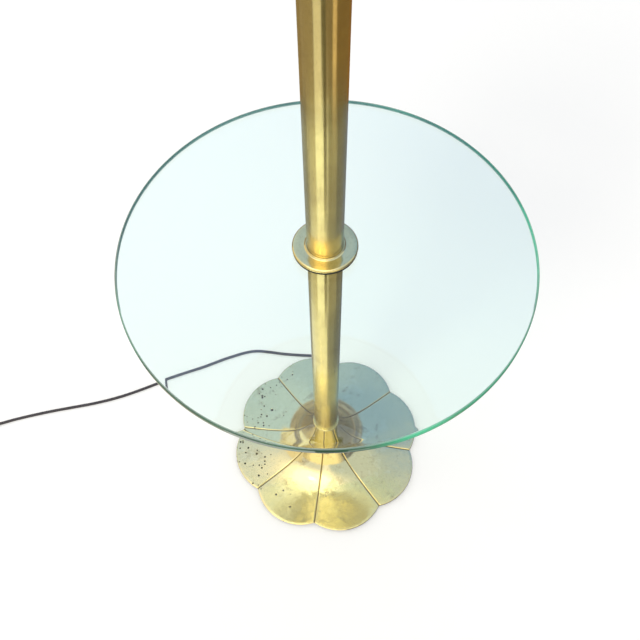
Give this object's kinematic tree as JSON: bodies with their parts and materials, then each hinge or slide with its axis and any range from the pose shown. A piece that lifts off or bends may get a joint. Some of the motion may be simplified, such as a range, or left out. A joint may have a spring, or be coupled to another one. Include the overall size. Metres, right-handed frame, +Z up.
{
  "type": "floor lamp with table",
  "caption": "Shaded brass floor lamp with a round clear glass table on its column, a petal-shaped trumpet foot and a flat mains lead with a plug.",
  "frame": {"origin": "on the floor at the column's axis, under the middle of the foot", "axes": "+Z up along the column, -Y towards the picture's viewer, +X to the viewer's right"},
  "size_m": [0.9635, 0.4572, 1.4568],
  "materials": {
    "polished_brass": "polished, lightly patinated",
    "dark_brass": "satin, aged",
    "steel": "zinc plated",
    "cast_iron": "rough",
    "felt": "felt",
    "rubber": "matt",
    "clear_glass": "polished, green at the edge",
    "nylon": "moulded",
    "cord_pvc": "dark brown vinyl, semi-matt",
    "phenolic": "moulded",
    "fibre": "pressed insulating fibre",
    "frosted_glass": "frosted",
    "linen": "plain weave on a stiff lining",
    "tie": "woven strap"
  },
  "bodies": {
    "root": {"lotus_base": "polished_brass", "base_weight": "cast_iron", "base_felt": "felt", "base_washer": "steel", "base_nut": "steel", "foot_ring": "polished_brass", "lower_column": "polished_brass", "lower_collar": "polished_brass", "lower_gasket": "rubber", "glass_table": "clear_glass", "glass_bushing": "nylon", "upper_gasket": "rubber", "upper_collar": "polished_brass", "clamp_nut": "steel", "upper_column": "polished_brass", "lower_pipe": "steel", "pipe_coupling": "steel", "upper_pipe": "steel", "column_cap": "polished_brass", "check_ring": "polished_brass", "harp_saddle": "dark_brass", "harp": "dark_brass", "socket_cap": "polished_brass", "socket_shell": "polished_brass", "socket_liner": "fibre", "socket_body": "phenolic", "screw_shell": "dark_brass", "centre_contact": "dark_brass", "bulb_cap": "dark_brass", "bulb": "frosted_glass", "shade_spider": "polished_brass", "shade_ring": "polished_brass", "shade": "linen", "finial": "polished_brass", "inner_cord": "cord_pvc", "cord_bushing": "rubber", "power_cord": "cord_pvc", "cord_coil": "cord_pvc", "cord_tie": "tie", "plug_body": "cord_pvc", "plug_blades": "dark_brass"},
    "switch_knob": {"switch_knob": "phenolic"},
    "harp_sleeve_left": {"harp_sleeve_left": "polished_brass"},
    "harp_sleeve_right": {"harp_sleeve_right": "polished_brass"}
  },
  "joints": [
    {"name": "switch_turn", "type": "hinge", "parent": "root", "child": "switch_knob", "pos_m": [0, -0.02, 1.2444], "axis": [0, -1, 0], "continuous": true},
    {"name": "left_sleeve_slide", "type": "slide", "parent": "root", "child": "harp_sleeve_left", "axis": [0, 0, 1], "range_m": [0, 0.016]},
    {"name": "right_sleeve_slide", "type": "slide", "parent": "root", "child": "harp_sleeve_right", "axis": [0, 0, 1], "range_m": [0, 0.016]}
  ]
}
